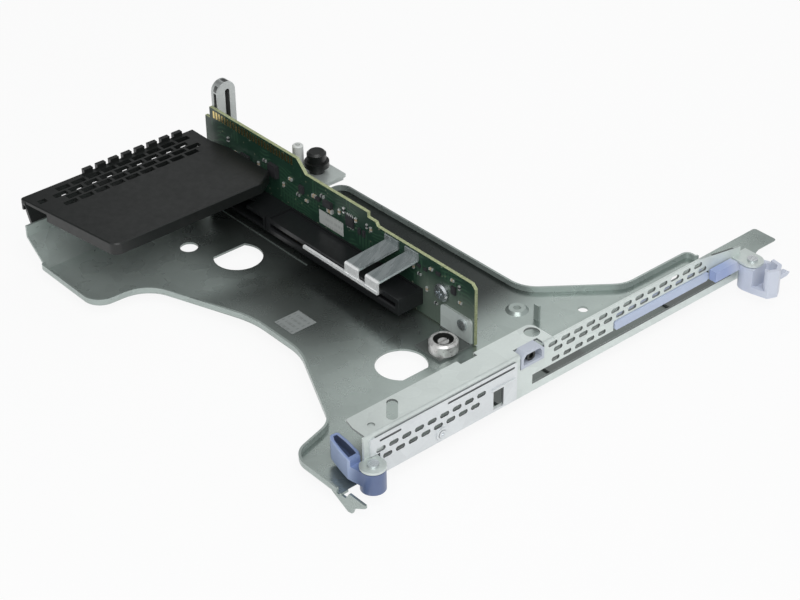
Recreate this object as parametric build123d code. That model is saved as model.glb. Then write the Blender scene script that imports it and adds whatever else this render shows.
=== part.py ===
from build123d import *
import os

os.makedirs("parts", exist_ok=True)

# Frame: x runs along the rear panel, y into the server, z up from the tray floor.
# The parts are drawn from the left end of the panel, its outer face and the top of the tray floor,
# and are written out with the origin moved to the axis of the round guide hole in the floor. All in mm.

# Driving dimensions
SHEET = 1.0               # sheet thickness of tray and panel
LIP_H = 2.6               # height of the rolled lip above the floor
LIP_R = 1.5               # outer radius of the lip bend
PANEL_L = 209.0           # length of the rear panel
PANEL_H = 20.6            # height of the panel, one slot high
FLANGE_D = 13.6           # depth of the panel's inner flange
FLANGE_L = 98.0           # length of the deep part of the flange
SHOULDER_X = 183.0        # where the panel's upper edge starts to fall towards its right end
SHOULDER_Z = 16.2         # its height there
SLOT_X0 = 86.5            # start of the full-height slot opening
SLOT_L = 117.5            # its length
SLOT_Z0 = 3.5             # lower edge of the opening
SLOT_H = 4.6              # free height of the opening
BOARD_X = 90.0            # near face of the riser board
BOARD_T = 1.6             # its thickness
BOARD_Y0 = 37.5           # near edge
BOARD_Y1 = 219.0          # far edge
BOARD_LOW = 29.8          # height of the board next to the panel
BOARD_MID = 34.0          # height of the middle step
BOARD_TOP = 39.6          # height of the edge-connector step
CONN_L = 89.0             # length of a sixteen-lane slot connector
CONN_P = 13.6             # how far it stands off the board
CONN_H = 7.4              # its width across the card plane
CONN_Y0 = 69.0            # its end nearer the panel
CONN_Z0 = 5.6             # its lower side
GUIDE_Z = 27.5            # top of the card-end guide
GUIDE_T = 1.8             # its wall
GUIDE_Y0 = 162.3          # its front edge
GUIDE_Y1 = 222.0          # its rear face
GUIDE_X1 = 84.5           # its right edge
DATUM = (47.9, 177.3)     # axis of the guide hole, which becomes the origin
DATUM_R = 4.0             # its radius
PIN_R = 1.5               # latch pivot pin radius
PIN_FIT = 0.05            # radial clearance of lever on pin
HOLE_FIT = 0.05           # radial clearance of a screw in its hole


def box(x0, x1, y0, y1, z0, z1):
    return Pos((x0 + x1) / 2, (y0 + y1) / 2, (z0 + z1) / 2) * Box(x1 - x0, y1 - y0, z1 - z0)


def cyl(x, y, z0, z1, r):
    return Pos(x, y, (z0 + z1) / 2) * Cylinder(r, z1 - z0)


def cyl_x(x0, x1, y, z, r):
    return Pos((x0 + x1) / 2, y, z) * Rot(0, 90, 0) * Cylinder(r, x1 - x0)


def cyl_y(x, y0, y1, z, r):
    return Pos(x, (y0 + y1) / 2, z) * Rot(90, 0, 0) * Cylinder(r, y1 - y0)


def slot_y(x, y0, y1, z, length, height):
    # punched slot with clipped corners, through a wall that faces y
    a, h, c = length / 2, height / 2, height * 0.3
    return prism_y([(x - a + c, z - h), (x + a - c, z - h), (x + a, z - h + c), (x + a, z + h - c),
                    (x + a - c, z + h), (x - a + c, z + h), (x - a, z + h - c), (x - a, z - h + c)], y0, y1)


def plate_z(points, z0, z1, radii):
    # flat plate from an outline with a round at each corner, (x, y) points
    with BuildSketch() as sk:
        with BuildLine():
            Polyline(*points, close=True)
        make_face()
    face = sk.sketch
    for corner, radius in radii:
        vs = [v for v in face.vertices() if abs(v.X - corner[0]) < 0.01 and abs(v.Y - corner[1]) < 0.01]
        if vs:
            face = fillet(vs, radius)
    return face, Pos(0, 0, z0) * extrude(face, z1 - z0)


def prism_x(points, x0, x1):
    # outline in y, z carried along x
    with BuildSketch(Plane.YZ) as sk:
        with BuildLine():
            Polyline(*points, close=True)
        make_face()
    return Pos(x0, 0, 0) * extrude(sk.sketch, x1 - x0)


def prism_y(points, y0, y1):
    # outline in x, z carried along y
    with BuildSketch(Plane.XZ) as sk:
        with BuildLine():
            Polyline(*points, close=True)
        make_face()
    return Pos(0, y1, 0) * extrude(sk.sketch, y1 - y0)


def write(shape, name):
    export_step(shape.moved(Location((-DATUM[0], -DATUM[1], 0))), "parts/" + name + ".step")


# Tray: one folded sheet
TAB_X1, TAB_Y1 = 245.5, 22.0      # far corner of the tab beside the right ear
WING_X1 = 206.3                   # end of the right wing's lip
TRAY = [
    (-10.5, 206.0), (-10.5, 163.5), (14.5, 162.5), (33.0, 112.0), (33.0, 80.0), (12.0, 35.5),
    (-11.6, 29.0), (-11.6, 1.3), (210.0, 1.3), (233.5, 9.0), (TAB_X1, 9.0), (TAB_X1, TAB_Y1),
    (WING_X1, 21.6), (WING_X1, 26.8), (167.0, 26.8), (133.0, 53.5), (131.5, 172.0), (104.0, 172.0),
    (104.0, 206.0),
]
TRAY_ROUNDS = [
    ((-10.5, 163.5), 9.0), ((14.5, 162.5), 16.0), ((33.0, 112.0), 45.0), ((33.0, 80.0), 30.0),
    ((12.0, 35.5), 12.0), ((-11.6, 29.0), 10.0), ((TAB_X1, 9.0), 1.6), ((TAB_X1, TAB_Y1), 1.6),
    ((WING_X1, 26.8), 3.4), ((167.0, 26.8), 14.0), ((133.0, 53.5), 15.0), ((131.5, 172.0), 6.0),
    ((104.0, 172.0), 6.0), ((-10.5, 206.0), 1.6), ((104.0, 206.0), 1.6),
]
END_FOOT = 204.0          # where the end wall starts to rise
END_Y = 217.6             # inner face of its upright part
END_Z0 = 10.2             # start of the upright part
END_Z1 = 15.4             # its top
END_X0, END_X1 = -8.6, 89.6

tray_face, tray_solid = plate_z(TRAY, -SHEET, LIP_H, TRAY_ROUNDS)
inner_face = offset(tray_face, -SHEET)
tray = tray_solid - extrude(inner_face, LIP_H + 1)
try:
    low = tray.edges().filter_by(lambda e: abs(e.bounding_box().max.Z + SHEET) < 1e-4)
    tray = fillet(low, LIP_R)
except Exception:
    pass
# the lip stops at the panel side, along the far tab and where the end wall rises
tray -= box(-14.0, TAB_X1 + 1.0, 0.0, 2.4, 0.0, LIP_H + 1)
tray -= box(WING_X1 + 0.7, TAB_X1 + 1.0, 0.0, TAB_Y1 + 1.0, 0.0, LIP_H + 1)
tray -= box(-8.6, 105.0, 203.0, 207.0, 0.0, LIP_H + 1)
tray -= box(102.0, 105.0, 198.0, 207.0, 0.0, LIP_H + 1)

# end wall: slopes up from the floor, then stands upright behind the card-end guide
wall_profile = [
    (END_FOOT - 2.0, -SHEET), (END_FOOT + 0.6, -SHEET), (END_Y + SHEET, END_Z0 - 0.6), (END_Y + SHEET, END_Z1),
    (END_Y, END_Z1), (END_Y, END_Z0), (END_FOOT, 0.0), (END_FOOT - 2.0, 0.0),
]
wall = prism_x(wall_profile, END_X0, END_X1)
tray += wall
# trim the floor lip behind the foot of the end wall
tray -= prism_x([(END_FOOT + 0.7, -SHEET - 1), (215.0, -SHEET - 1), (215.0, 4.0),
                 (END_FOOT + 6.0, 4.0)], END_X0 + 0.01, END_X1 - 0.01) - wall

# front hook under the left wing
HOOK = [(7.0, -0.6), (6.4, -1.8), (-2.8, -6.2), (-5.1, -5.7), (-6.5, -2.5), (-12.8, 1.2), (-12.8, 2.7),
        (-3.7, 2.7), (-1.5, -0.6)]
tray += prism_x(HOOK, -10.5, -9.5)
tray += box(-10.5, -7.0, 1.0, 7.0, -SHEET, 0.0)

# lightening holes: two rounds with one straight side each, a small round and the screw holes
D1, D2 = (59.8, 48.0), (59.5, 156.6)
D_R = 10.9
d1 = cyl(D1[0], D1[1], -3, 2, D_R) & box(40, 80, D1[1] - 8.6, D1[1] + 20, -4, 3)
d2 = cyl(D2[0], D2[1], -3, 2, D_R) & box(40, 80, D2[1] - 20, D2[1] + 6.9, -4, 3)
tray -= d1 + d2
tray -= cyl(DATUM[0], DATUM[1], -3, 2, DATUM_R)
tray -= cyl(142.8, 27.4, -3, 2, 2.2)
tray -= box(186.0, 192.5, 17.5, 21.5, -3, 1)
# raised boss with a tapped hole on the right of the floor
BOSS = (121.7, 45.3)
tray += Pos(BOSS[0], BOSS[1], 0.6) * Cone(5.0, 3.6, 1.2)
tray -= cyl(BOSS[0], BOSS[1], -3, 3, 1.6)
# lanced upright tab next to it
tray += box(122.2, 123.2, 33.0, 36.0, -0.4, 7.6)
# hole in the end wall for the guide screw
GUIDE_SCREW = ((6.5, 12.6), (GUIDE_X1 - 5.0, 12.6))
for sx, sz in GUIDE_SCREW:
    tray -= cyl_y(sx, END_Y - 1, END_Y + 2, sz, 1.5 + HOLE_FIT)
# holes for the bracket screw and the knob bracket rivets
CAPTIVE = (BOARD_X - 11.4, 43.6)
tray -= cyl(CAPTIVE[0], CAPTIVE[1], -3, 1, 2.0 + HOLE_FIT)
RIVETS = ((BOARD_X + 13.4, 164.4), (BOARD_X + 20.2, 164.4))
for rx, ry in RIVETS:
    tray -= cyl(rx, ry, -3, 1, 1.5)
write(tray, "tray")

# Rear panel: face, inner flange, ears for the latches
FACE_X1 = PANEL_L
panel = box(0.0, FLANGE_L, 0.0, SHEET, 0.0, PANEL_H)
flange = box(1.4, FLANGE_L, 0.0, FLANGE_D, PANEL_H - SHEET, PANEL_H)
# slanted left end of the flange
flange -= Pos(0, 0, PANEL_H) * Rot(0, 0, -14) * box(-8.0, -0.6, -3.0, 20.0, -3.0, 3.0)
panel += flange
corner = [e for e in panel.edges().filter_by(Axis.X)
          if abs(e.center().Z - PANEL_H) < 0.01 and abs(e.center().Y) < 0.01]
panel = fillet(corner, 1.3)
# rounded end of the flange
run = [e for e in panel.edges().filter_by(Axis.Z)
       if abs(e.center().X - FLANGE_L) < 0.02 and e.center().Y > 3.0]
panel = fillet(run, 3.5)
# the face goes on without a flange, and its upper edge falls towards the right end
panel += box(FLANGE_L, FACE_X1, 0.0, SHEET, 0.0, PANEL_H)
panel -= prism_y([(SHOULDER_X, PANEL_H), (FACE_X1 + 1, SHOULDER_Z - 0.2), (FACE_X1 + 1, PANEL_H + 1),
                  (SHOULDER_X, PANEL_H + 1)], -1.0, 2.0)
# feet that carry the face on the tray, at the ends and beside the board
for fx0, fx1 in ((6.0, 30.0), (70.0, 84.0), (100.0, 120.0), (170.0, 198.0)):
    panel += box(fx0, fx1, 0.4, 10.0, 0.0, SHEET)
# window behind the low-profile slot blank
panel -= box(9.4, 62.0, -1.0, 2.0, 6.6, 15.4)
panel -= box(64.2, 70.6, -1.0, 2.0, 1.6, 11.2)
# full-height slot opening with a deeper stretch for the retainer bar
panel -= box(SLOT_X0, SLOT_X0 + SLOT_L, -1.0, 2.0, SLOT_Z0, SLOT_Z0 + SLOT_H)
BAR_Z0 = SLOT_Z0 + SLOT_H + 0.1
panel -= box(132.0, 189.0, -1.0, 2.0, BAR_Z0 - 0.2, 12.7)
# vents: two long rows on the right, a short third row
VENT_L, VENT_H, VENT_P = 4.9, 2.1, 7.05
for i in range(13):
    x = 97.4 + i * VENT_P
    panel -= slot_y(x, -1.0, 2.0, 18.0, VENT_L, VENT_H)
    panel -= slot_y(x + 3.0, -1.0, 2.0, 14.7, VENT_L, VENT_H)
for i in range(5):
    panel -= slot_y(99.2 + i * 6.55, -1.0, 2.0, 10.2, 4.4, 2.0)
# notch in the upper edge for the hooded fastener
HOOD_X0, HOOD_X1, HOOD_Z = 79.6, 92.6, 13.4
panel -= box(HOOD_X0, HOOD_X1, -1.0, 4.4, HOOD_Z, PANEL_H + 1)
# flange: slanted slot, dimple, keyed notch in the rear edge, round hole behind the hood
panel -= Pos(19.8, 6.9, PANEL_H) * Rot(0, 0, 49) * extrude(SlotOverall(13.0, 4.4), 3, both=True)
panel -= Pos(7.7, 4.8, PANEL_H) * Cylinder(1.5, 1.0)
panel -= box(58.5, 67.2, FLANGE_D - 2.4, FLANGE_D + 1, PANEL_H - 2, PANEL_H + 1)
panel -= cyl(94.0, 8.6, PANEL_H - 2, PANEL_H + 1, 3.3)
# ears: horizontal tabs that carry the latch pins
EAR_L = (0.6, -4.4)
EAR_R = (208.5, -7.2)
EAR_ZL = 10.0
EAR_ZR = 12.0
EAR_RAD = 5.2
EAR_RAD_R = 4.9
# the left ear is bent out of the face, which leaves a notch below it
panel -= box(-1.0, EAR_L[0] + EAR_RAD + 1.4, -1.0, 2.0, -1.0, EAR_ZL)
ear_l = box(0.0, EAR_L[0] + EAR_RAD, EAR_L[1], 0.5, EAR_ZL, EAR_ZL + SHEET)
ear_l += cyl(EAR_L[0], EAR_L[1], EAR_ZL, EAR_ZL + SHEET, EAR_RAD) & box(-9.0, 9.0, -12.0, 0.0, 5.0, 15.0)
ear_r = box(EAR_R[0] - EAR_RAD_R, EAR_R[0] + EAR_RAD_R, EAR_R[1], 0.6, EAR_ZR, EAR_ZR + SHEET)
ear_r += cyl(EAR_R[0], EAR_R[1], EAR_ZR, EAR_ZR + SHEET, EAR_RAD_R)
panel += box(FACE_X1 - 0.6, EAR_R[0] + EAR_RAD_R, 0.0, SHEET, 3.0, EAR_ZR + SHEET)
panel += ear_l + ear_r
panel -= cyl(EAR_L[0], EAR_L[1], EAR_ZL - 1, EAR_ZL + 2, PIN_R)
panel -= cyl(EAR_R[0], EAR_R[1], EAR_ZR - 1, EAR_ZR + 2, PIN_R)
panel -= cyl_y(37.8, -1.0, 2.0, 4.4, 1.2 + HOLE_FIT)
write(panel, "rear_panel")

# Low-profile slot blank on the outer face
BL_X0, BL_X1, BL_Z0, BL_Z1, BL_T = 2.6, 77.4, 0.8, 19.0, 0.8
blank = box(BL_X0, BL_X1, -BL_T, 0.0, BL_Z0, BL_Z1)
vert = [e for e in blank.edges().filter_by(Axis.Y)]
blank = fillet(vert, 1.2)
blank -= box(0.0, EAR_L[0] + EAR_RAD + 1.4, -2.0, 1.0, -1.0, EAR_ZL + SHEET + 0.2)
for i in range(9):
    blank -= slot_y(7.6 + i * 6.35, -2.0, 1.0, 12.6, 4.6, 2.1)
for i in range(8):
    blank -= slot_y(10.8 + i * 6.35, -2.0, 1.0, 8.6, 4.6, 2.1)
blank -= slot_y(12.4, -2.0, -BL_T + 0.4, 16.7, 10.6, 1.0)
blank -= slot_y(58.5, -2.0, -BL_T + 0.4, 17.0, 35.0, 1.0)
# tongue pocket: upright hole under a pressed ledge
blank -= box(64.8, 70.2, -2.0, 1.0, 1.9, 10.9)
blank += box(63.6, 76.0, -BL_T - 0.7, -BL_T + 0.1, 11.3, 12.3)
# pressed rim round the fixing screw
blank += Pos(37.8, -BL_T - 0.3, 4.4) * Rot(90, 0, 0) * Cylinder(2.9, 0.6)
blank -= Pos(37.8, -BL_T - 0.3, 4.4) * Rot(90, 0, 0) * Cylinder(1.9, 2.4)
write(blank, "slot_blank")

blank_screw = Pos(37.8, -BL_T - 0.35, 4.4) * Rot(90, 0, 0) * Cylinder(1.75, 0.9)
blank_screw += Pos(37.8, 0.2, 4.4) * Rot(90, 0, 0) * Cylinder(1.2, 2.0)
blank_screw -= Pos(37.8, -BL_T - 0.9, 4.4) * Rot(90, 30, 0) * Cylinder(0.8, 0.8)
write(blank_screw, "blank_screw")

# Retainer bar over the full-height opening
bar = box(132.4, 188.6, -0.6, 2.2, BAR_Z0, 12.5)
bar = chamfer(bar.edges().filter_by(Axis.Y), 0.9)
bar += box(134.0, 187.0, 1.1, 3.1, BAR_Z0, 13.2) - box(135.2, 185.8, 2.2, 4.0, BAR_Z0 + 1.0, 12.0)
write(bar, "retainer_bar")

# Hooded fastener in the panel notch
hood = prism_y([(HOOD_X0 + 0.3, HOOD_Z + 0.3), (HOOD_X1 - 0.3, HOOD_Z + 0.3), (HOOD_X1 - 0.3, PANEL_H - 2.0),
                (HOOD_X1 - 2.4, PANEL_H + 0.3), (HOOD_X0 + 2.4, PANEL_H + 0.3),
                (HOOD_X0 + 0.3, PANEL_H - 2.0)], -0.4, 4.2)
hood -= prism_y([(HOOD_X0 + 1.6, HOOD_Z + 1.6), (HOOD_X1 - 1.6, HOOD_Z + 1.6), (HOOD_X1 - 1.6, PANEL_H - 2.6),
                 (HOOD_X1 - 3.0, PANEL_H - 1.0), (HOOD_X0 + 3.0, PANEL_H - 1.0),
                 (HOOD_X0 + 1.6, PANEL_H - 2.6)], -1.0, 3.2)
write(hood, "fastener_hood")
hood_screw = cyl_y((HOOD_X0 + HOOD_X1) / 2, 0.6, 3.2, 17.25, 2.2)
hood_screw -= cyl_y((HOOD_X0 + HOOD_X1) / 2, 0.2, 1.8, 17.25, 1.2)
write(hood_screw, "hood_screw")

# Latches: levers on upright pins
def pin(px, py, top):
    # straight pin, headed above the ear and below the lever
    return (cyl(px, py, -0.6, top + 0.9, PIN_R) + cyl(px, py, top, top + 0.9, PIN_R + 0.8)
            + cyl(px, py, -0.6, 0.1, PIN_R + 0.9))


# left lever: barrel on the pin, handle folded back along the end of the panel
PX, PY = EAR_L
BARREL_R = 5.05
ARM = [(PX - BARREL_R, PY), (PX - 6.2, PY + 7.4), (PX - 5.0, PY + 13.6), (PX - 3.2, PY + 20.6), (PX - 1.8, PY + 23.0),
       (PX + 2.0, PY + 22.8), (PX + 1.6, PY + 16.0), (PX + 0.4, PY + 8.4), (PX - 1.1, PY + 5.8), (PX - 1.1, PY)]
with BuildSketch() as ask:
    with BuildLine():
        Polyline(*ARM, close=True)
    make_face()
arm = fillet([v for v in ask.sketch.vertices() if v.Y > PY + 5.0], 1.2)
left = cyl(PX, PY, 0.3, EAR_ZL - 0.4, BARREL_R)
left += Pos(0, 0, 3.2) * extrude(arm, EAR_ZL - 3.6)
left += (Pos(0, 0, 3.2) * extrude(arm, 9.2)) & box(-9.0, 9.0, PY + 6.0, 30.0, 0.0, 20.0)
pocket = offset(arm, -1.3)
left -= (Pos(0, 0, 8.4) * extrude(pocket, 12.0)) & box(-9.0, 9.0, PY + 8.0, 30.0, 5.0, 20.0)
crown = [e for e in left.edges() if abs(e.center().Z - 12.4) < 0.01 and e.length > 3.0
         and (e.center().X < PX - 3.5 or e.center().Y > PY + 21.0)]
try:
    left = fillet(crown, 0.5)
except Exception:
    pass
left -= cyl(PX, PY, -1.0, 14.0, PIN_R + PIN_FIT)
write(left, "left_latch")
write(pin(PX, PY, EAR_ZL + SHEET), "left_latch_pin")

# right lever, hollow, standing out from the panel
RX, RY = EAR_R
RO = [(RX - 5.25, RY - 1.6), (RX - 4.7, RY - 5.0), (RX - 2.9, RY - 12.0), (RX + 1.5, RY - 13.8), (RX + 5.7, RY - 11.4),
      (RX + 6.6, RY - 5.0), (RX + 4.6, RY + 0.6), (RX - 4.6, RY + 0.6)]
with BuildSketch() as rsk:
    with BuildLine():
        Polyline(*RO, close=True)
    make_face()
rf = fillet([v for v in rsk.sketch.vertices() if v.Y < RY - 1.0], 1.6)
right_top = EAR_ZR - 0.4
RIM_H = 2.0               # the outer wall rises past the ear as a rim
hollow = Pos(0, 0, 2.0) * extrude(offset(rf, -1.7), 20) & box(RX - 9.0, RX + 9.0, RY - 20.0, RY - 4.2, 0.0, 30.0)
right = Pos(0, 0, 0.3) * extrude(rf, right_top + RIM_H - 0.3)
right -= box(RX - 9.0, RX + 9.0, RY - 6.2, RY + 9.0, right_top, 20.0)
right += cyl(RX, RY, 0.3, right_top, 5.4)
right -= hollow - cyl(RX, RY, 0.0, 30.0, 3.6)
right -= box(RX - 9.0, RX - 2.0, RY - 10.5, RY - 4.6, 3.4, 20.0)
# arm along the front of the panel towards the retainer bar
right += prism_y([(189.0, 8.6), (RX - 3.6, 8.6), (RX - 3.6, right_top), (RX - 5.7, right_top), (RX - 6.4, 13.4),
                  (189.0, 13.4)], -4.4, -0.6)
right += prism_y([(RX + 5.0, 5.6), (RX + 10.6, 5.6), (RX + 12.4, 6.8), (RX + 10.6, 8.0), (RX + 5.0, 8.0)],
                 RY - 10.8, RY - 8.4)
right -= cyl(RX, RY, -1.0, 16.0, PIN_R + PIN_FIT)
write(right, "right_latch")
write(pin(RX, RY, EAR_ZR + SHEET), "right_latch_pin")

# Riser board, stepped along its upper edge
BX1 = BOARD_X + BOARD_T
EDGE_Y0, EDGE_Y1 = 152.0, 215.4   # the high step with the edge contacts
board = prism_x([
    (BOARD_Y0, 0.6), (BOARD_Y1, 0.6), (BOARD_Y1, BOARD_MID), (EDGE_Y1, BOARD_MID), (EDGE_Y1, BOARD_TOP),
    (EDGE_Y0, BOARD_TOP), (EDGE_Y0 - 6.0, BOARD_MID), (104.2, BOARD_MID), (104.2, 31.6), (99.0, 31.6),
    (98.0, BOARD_LOW), (BOARD_Y0 + 2.0, BOARD_LOW), (BOARD_Y0, BOARD_LOW - 2.0),
], BOARD_X, BX1)
BOARD_SCREW = (56.6, 17.6)
board -= cyl_x(BOARD_X - 1, BX1 + 1, BOARD_SCREW[0], BOARD_SCREW[1], 1.5 + HOLE_FIT)
board -= cyl_x(BOARD_X - 1, BX1 + 1, 43.5, 8.6, 1.5 + HOLE_FIT)
board -= cyl_x(BOARD_X - 1, BX1 + 1, 210.0, 12.0, 1.5 + HOLE_FIT)
write(board, "riser_board")

# gold contacts of the edge connector, both faces, one group
fingers = []
for i in range(28):
    y = 154.8 + i * 2.1
    fingers.append(box(BOARD_X - 0.05, BOARD_X, y, y + 1.3, BOARD_TOP - 4.6, BOARD_TOP - 1.0))
    fingers.append(box(BX1, BX1 + 0.05, y, y + 1.3, BOARD_TOP - 4.6, BOARD_TOP - 1.0))
write(Compound(children=fingers), "edge_contacts")


# Slot connectors
def connector(side):
    # side -1 stands off the near face, +1 off the far face; the card enters from the outer end
    x_in = BOARD_X if side < 0 else BX1
    x_out = x_in + side * CONN_P
    lo, hi = min(x_in, x_out), max(x_in, x_out)
    z0, z1 = CONN_Z0, CONN_Z0 + CONN_H
    zc = (z0 + z1) / 2
    c = box(lo, hi, CONN_Y0, CONN_Y0 + CONN_L, z0, z1)
    # waist: the body is slimmer towards the board
    w = 12.0
    a, b = (x_in + side * 0.8, x_in + side * (0.8 + w))
    lo2, hi2 = min(a, b), max(a, b)
    for za, zb in ((z0 - 1, z0 + 1.0), (z1 - 1.0, z1 + 1)):
        c -= box(lo2, hi2, CONN_Y0 + 2.0, CONN_Y0 + CONN_L - 2.0, za, zb)
    # card slot in two lengths with the key between
    a, b = (x_out - side * 8.3, x_out + side * 1.0)
    lo3, hi3 = min(a, b), max(a, b)
    c -= box(lo3, hi3, CONN_Y0 + 1.8, CONN_Y0 + 13.4, zc - 0.9, zc + 0.9)
    c -= box(lo3, hi3, CONN_Y0 + 15.3, CONN_Y0 + CONN_L - 3.0, zc - 0.9, zc + 0.9)
    # lead-in chamfer along the mouth
    mouth = [e for e in c.edges().filter_by(Axis.Y)
             if abs(e.center().X - x_out) < 0.01 and abs(abs(e.center().Z - zc) - 0.9) < 0.05]
    c = chamfer(mouth, 0.6)
    return c


write(connector(-1), "left_slot_connector")
write(connector(1), "right_slot_connector")


def slot_contacts(side):
    x_in = BOARD_X if side < 0 else BX1
    x_out = x_in + side * CONN_P
    zc = CONN_Z0 + CONN_H / 2
    a, b = (x_out - side * 7.9, x_out - side * 2.4)
    lo, hi = min(a, b), max(a, b)
    bars = []
    for i in range(14):
        y = CONN_Y0 + 17.0 + i * 4.8
        bars.append(box(lo, hi, y, y + 2.6, zc + 0.62, zc + 0.9))
        bars.append(box(lo, hi, y, y + 2.6, zc - 0.9, zc - 0.62))
    return Compound(children=bars)


write(slot_contacts(-1), "left_slot_contacts")
write(slot_contacts(1), "right_slot_contacts")

# sideband header beyond the near-face slot
header = box(BOARD_X - CONN_P, BOARD_X, 158.6, 201.0, CONN_Z0, CONN_Z0 + 7.0)
header -= box(BOARD_X - CONN_P - 1.0, BOARD_X - 2.0, 160.2, 199.4, CONN_Z0 + 1.6, CONN_Z0 + 5.4)
header -= box(BOARD_X - CONN_P - 1.0, BOARD_X - 8.0, 172.0, 186.0, CONN_Z0 + 3.6, CONN_Z0 + 8.0)
write(header, "sideband_header")

# Spring clip over the near-face slot: two slanted straps and the rail that joins their ends
CLIP_X = BOARD_X - CONN_P - 0.3
CLIP_T = 0.8
CLIP_Z = CONN_Z0 + CONN_H + 2.4
CLIP_FOOT = 25.8          # height of the straps' feet on the board


def strap(y0, y1, lean):
    # from the board down over the connector, leaning away from the panel on its way out
    plan = plate_z([(CLIP_X, y0), (BOARD_X - 0.7, y0 - lean), (BOARD_X - 0.7, y1 - lean), (CLIP_X, y1)],
                   CONN_Z0, BOARD_LOW, [])[1]
    fall = prism_y([(CLIP_X, CLIP_Z), (BOARD_X, CLIP_FOOT), (BOARD_X, CLIP_FOOT + 1.1), (CLIP_X, CLIP_Z + 1.1)],
                   y0 - lean - 2, y1 + 2)
    s = plan & fall
    s += box(CLIP_X - CLIP_T, CLIP_X + 0.05, y0, y1, CONN_Z0 + CONN_H - 2.0, CLIP_Z + 1.1)
    s += box(BOARD_X - CLIP_T, BOARD_X, y0 - lean, y1 - lean, CLIP_FOOT - 0.4, CLIP_FOOT + 3.4)
    ridge = [e for e in s.edges().filter_by(Axis.Y)
             if abs(e.center().X - (CLIP_X - CLIP_T)) < 0.01 and e.center().Z > CLIP_Z]
    return chamfer(ridge, 0.6)


clip = strap(93.8, 102.4, 10.0) + strap(80.8, 89.0, 9.4)
clip += box(CLIP_X - CLIP_T - 0.4, CLIP_X, 80.8, 130.0, CONN_Z0 + CONN_H - 2.6, CONN_Z0 + CONN_H - 1.2)
write(clip, "retention_straps")

# Board hardware: screws, bracket at the near foot, captive screw
def pan_screw_x(x, y, z, r, h, shank_r, shank_l):
    # head stands towards -x
    s = cyl_x(x - h, x, y, z, r)
    s = chamfer([e for e in s.edges() if abs(e.center().X - (x - h)) < 0.01], h * 0.4)
    s += cyl_x(x - 0.05, x + shank_l, y, z, shank_r)
    for rot in (0, 90):
        s -= Pos(x - h, y, z) * Rot(rot, 0, 0) * Box(1.6, r * 1.1, 0.7)
    return s


screws = [pan_screw_x(BOARD_X, BOARD_SCREW[0], BOARD_SCREW[1], 4.0, 2.0, 1.5, 2.8),
          pan_screw_x(BOARD_X, 210.0, 12.0, 4.0, 2.0, 1.5, 2.8)]
write(Compound(children=screws), "board_screws")

bracket = box(BOARD_X - SHEET, BOARD_X, 38.4, 57.0, 0.2, 12.4)
bracket += box(BOARD_X - 18.0, BOARD_X - 0.2, 38.4, 53.6, 0.0, SHEET)
bracket -= cyl_x(BOARD_X - 2, BOARD_X + 1, 43.5, 8.6, 1.5 + HOLE_FIT)
bracket -= cyl(CAPTIVE[0], CAPTIVE[1], -1, 2, 2.0 + HOLE_FIT)
up = [e for e in bracket.edges().filter_by(Axis.X) if e.center().Z > 12.0]
bracket = fillet(up, 2.0)
write(bracket, "board_bracket")
rivet = cyl_x(BOARD_X - SHEET - 0.9, BOARD_X - SHEET, 43.5, 8.6, 2.4)
rivet += cyl_x(BOARD_X - SHEET - 0.2, BX1 + 0.8, 43.5, 8.6, 1.5)
write(rivet, "bracket_rivet")
cap = cyl(CAPTIVE[0], CAPTIVE[1], SHEET, SHEET + 5.2, 6.2)
cap = chamfer([e for e in cap.edges() if abs(e.center().Z - (SHEET + 5.2)) < 0.01], 0.8)
cap -= cyl(CAPTIVE[0], CAPTIVE[1], SHEET + 2.2, 9.0, 4.2)
cap += cyl(CAPTIVE[0], CAPTIVE[1], SHEET + 0.5, SHEET + 4.2, 2.3)
cap -= Pos(CAPTIVE[0], CAPTIVE[1], SHEET + 4.2) * Box(4.8, 0.8, 1.6)
cap += cyl(CAPTIVE[0], CAPTIVE[1], -2.6, SHEET + 1.0, 2.0)
write(cap, "captive_screw")

# Parts on the board's near face
chips = [
    box(BOARD_X - 1.6, BOARD_X, 127.4, 132.6, 25.2, 28.0), box(BOARD_X - 1.2, BOARD_X, 135.4, 138.2, 25.6, 27.0),
    box(BOARD_X - 0.9, BOARD_X, 113.0, 118.0, 22.0, 27.0), box(BOARD_X - 0.7, BOARD_X, 108.6, 110.2, 21.0, 24.0),
    box(BOARD_X - 0.7, BOARD_X, 105.6, 107.2, 21.0, 24.0), box(BOARD_X - 1.0, BOARD_X, 147.0, 150.0, 24.0, 27.6),
    box(BOARD_X - 0.7, BOARD_X, 70.2, 72.0, 23.0, 24.2), box(BOARD_X - 0.7, BOARD_X, 66.2, 68.0, 23.0, 24.2),
    box(BOARD_X - 0.7, BOARD_X, 58.0, 60.4, 24.6, 26.0), box(BOARD_X - 0.9, BOARD_X, 48.4, 51.0, 20.0, 23.6),
    box(BOARD_X - 1.8, BOARD_X, 165.0, 171.0, 24.0, 30.0), box(BOARD_X - 1.1, BOARD_X, 186.0, 192.0, 20.0, 26.0),
]
write(Compound(children=chips), "board_parts")
write(box(BOARD_X - 0.12, BOARD_X, 120.6, 137.0, 14.2, 21.0), "board_label")
write(box(40.0, 53.0, 94.0, 106.0, 0.0, 0.12), "floor_label")

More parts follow.
